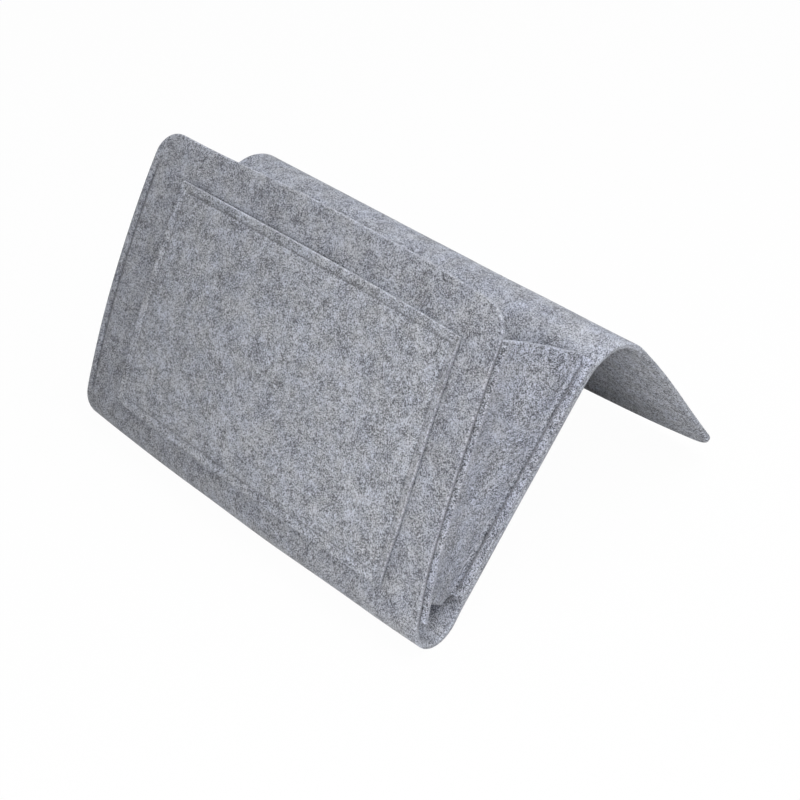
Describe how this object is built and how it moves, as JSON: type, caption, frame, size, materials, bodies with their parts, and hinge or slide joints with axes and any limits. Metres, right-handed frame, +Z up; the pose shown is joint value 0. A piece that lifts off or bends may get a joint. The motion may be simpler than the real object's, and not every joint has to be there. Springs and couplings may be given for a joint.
{
  "type": "bedside caddy",
  "caption": "Felt bedside caddy: a wide gusseted pocket with a patch pocket on its front, and a long flap that tucks under the mattress.",
  "frame": {"origin": "bottom centre of the box of the caddy set up as a tent", "axes": "+X along the width, front panel towards -Y, +Z up"},
  "size_m": [0.32, 0.2744, 0.1966],
  "materials": {
    "felt": "heather grey needled felt, matt, with pale raw edges",
    "thread": "grey sewing thread, sunk in the felt"
  },
  "bodies": {
    "back": {"back_panel": "felt", "bottom_fold": "felt", "top_fold": "felt", "left_gusset_web": "felt", "left_gusset_rear_flange": "felt", "right_gusset_web": "felt", "right_gusset_rear_flange": "felt", "left_rear_seam_needle_thread": "thread", "left_rear_seam_bobbin_thread": "thread", "right_rear_seam_needle_thread": "thread", "right_rear_seam_bobbin_thread": "thread"},
    "front": {"front_panel": "felt", "front_pocket": "felt", "left_gusset_front_flange": "felt", "right_gusset_front_flange": "felt", "pocket_seam_needle_thread": "thread", "pocket_seam_bobbin_thread": "thread", "pocket_hem_needle_thread": "thread", "pocket_hem_bobbin_thread": "thread", "left_front_seam_needle_thread": "thread", "left_front_seam_bobbin_thread": "thread", "right_front_seam_needle_thread": "thread", "right_front_seam_bobbin_thread": "thread"},
    "flap": {"tuck_flap": "felt"}
  },
  "joints": [
    {"name": "flap_fold", "type": "hinge", "parent": "back", "child": "flap", "pos_m": [0, 0.03225, 0.1327], "axis": [1, 0, 0], "range_deg": [-70, 100], "deforming": ["top_fold"]},
    {"name": "pocket_fold", "type": "hinge", "parent": "back", "child": "front", "pos_m": [0, -0.127, 0.00402], "axis": [1, 0, 0], "range_deg": [-20, 0], "deforming": ["bottom_fold", "left_gusset_web", "right_gusset_web"]}
  ]
}
